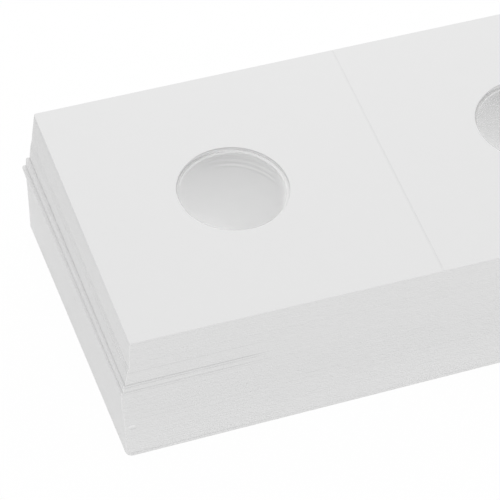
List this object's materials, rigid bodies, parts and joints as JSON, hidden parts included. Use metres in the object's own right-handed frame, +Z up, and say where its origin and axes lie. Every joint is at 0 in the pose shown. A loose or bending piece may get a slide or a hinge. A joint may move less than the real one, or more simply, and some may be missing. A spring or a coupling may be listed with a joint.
{
  "type": "pile of coin holders",
  "caption": "Pile of open white card coin holders with round film windows; each creases across its middle and folds over a coin.",
  "frame": {"origin": "on the surface that the pile stands on, under the middle of the top card's crease", "axes": "+X along the open cards, from the left squares to the right squares; +Y from the front edges to the back; +Z up"},
  "size_m": [0.1037, 0.0523, 0.0265],
  "materials": {
    "white_card": "matt white card, clean cut edges",
    "clear_film": "thin clear polyester film, faintly hazy"
  },
  "bodies": {
    "lower_stack": {"card_19": "white_card", "card_20": "white_card", "card_21": "white_card", "card_22": "white_card", "card_23": "white_card", "card_24": "white_card", "card_25": "white_card", "card_26": "white_card", "card_27": "white_card", "card_28": "white_card", "card_29": "white_card", "card_30": "white_card", "card_31": "white_card", "card_32": "white_card", "card_33": "white_card", "card_34": "white_card", "card_35": "white_card", "card_36": "white_card", "card_37": "white_card", "card_38": "white_card", "card_39": "white_card", "card_40": "white_card", "card_41": "white_card", "card_42": "white_card", "card_43": "white_card", "card_44": "white_card", "card_45": "white_card", "card_46": "white_card", "card_47": "white_card", "card_48": "white_card", "card_49": "white_card", "card_50": "white_card"},
    "upper_stack": {"card_08": "white_card", "card_09": "white_card", "card_10": "white_card", "card_11": "white_card", "card_12": "white_card", "card_13": "white_card", "card_14": "white_card", "card_15": "white_card", "card_16": "white_card", "card_17": "white_card", "card_18": "white_card"},
    "card_07": {"card_07_board": "white_card", "card_07_film": "clear_film"},
    "card_06": {"card_06_board": "white_card", "card_06_film": "clear_film"},
    "card_05": {"card_05_board": "white_card", "card_05_film": "clear_film"},
    "card_04": {"card_04_board": "white_card", "card_04_film": "clear_film"},
    "card_03": {"card_03_board": "white_card", "card_03_film": "clear_film"},
    "card_02": {"card_02_board": "white_card", "card_02_film": "clear_film"},
    "top_card": {"top_card_left_board": "white_card", "top_card_left_film": "clear_film"},
    "top_card_flap": {"top_card_right_board": "white_card", "top_card_right_film": "clear_film"}
  },
  "joints": [
    {"name": "upper_stack_lift", "type": "slide", "parent": "lower_stack", "child": "upper_stack", "axis": [0, 0, 1], "range_m": [0, 0.03]},
    {"name": "card_07_lift", "type": "slide", "parent": "upper_stack", "child": "card_07", "axis": [0, 0, 1], "range_m": [0, 0.03]},
    {"name": "card_06_lift", "type": "slide", "parent": "card_07", "child": "card_06", "axis": [0, 0, 1], "range_m": [0, 0.03]},
    {"name": "card_05_lift", "type": "slide", "parent": "card_06", "child": "card_05", "axis": [0, 0, 1], "range_m": [0, 0.03]},
    {"name": "card_04_lift", "type": "slide", "parent": "card_05", "child": "card_04", "axis": [0, 0, 1], "range_m": [0, 0.03]},
    {"name": "card_03_lift", "type": "slide", "parent": "card_04", "child": "card_03", "axis": [0, 0, 1], "range_m": [0, 0.03]},
    {"name": "card_02_lift", "type": "slide", "parent": "card_03", "child": "card_02", "axis": [0, 0, 1], "range_m": [0, 0.03]},
    {"name": "top_card_lift", "type": "slide", "parent": "card_02", "child": "top_card", "axis": [0, 0, 1], "range_m": [0, 0.03]},
    {"name": "top_card_fold", "type": "hinge", "parent": "top_card", "child": "top_card_flap", "pos_m": [0, 0, 0.02652], "axis": [0, -1, 0], "range_deg": [0, 180]}
  ]
}
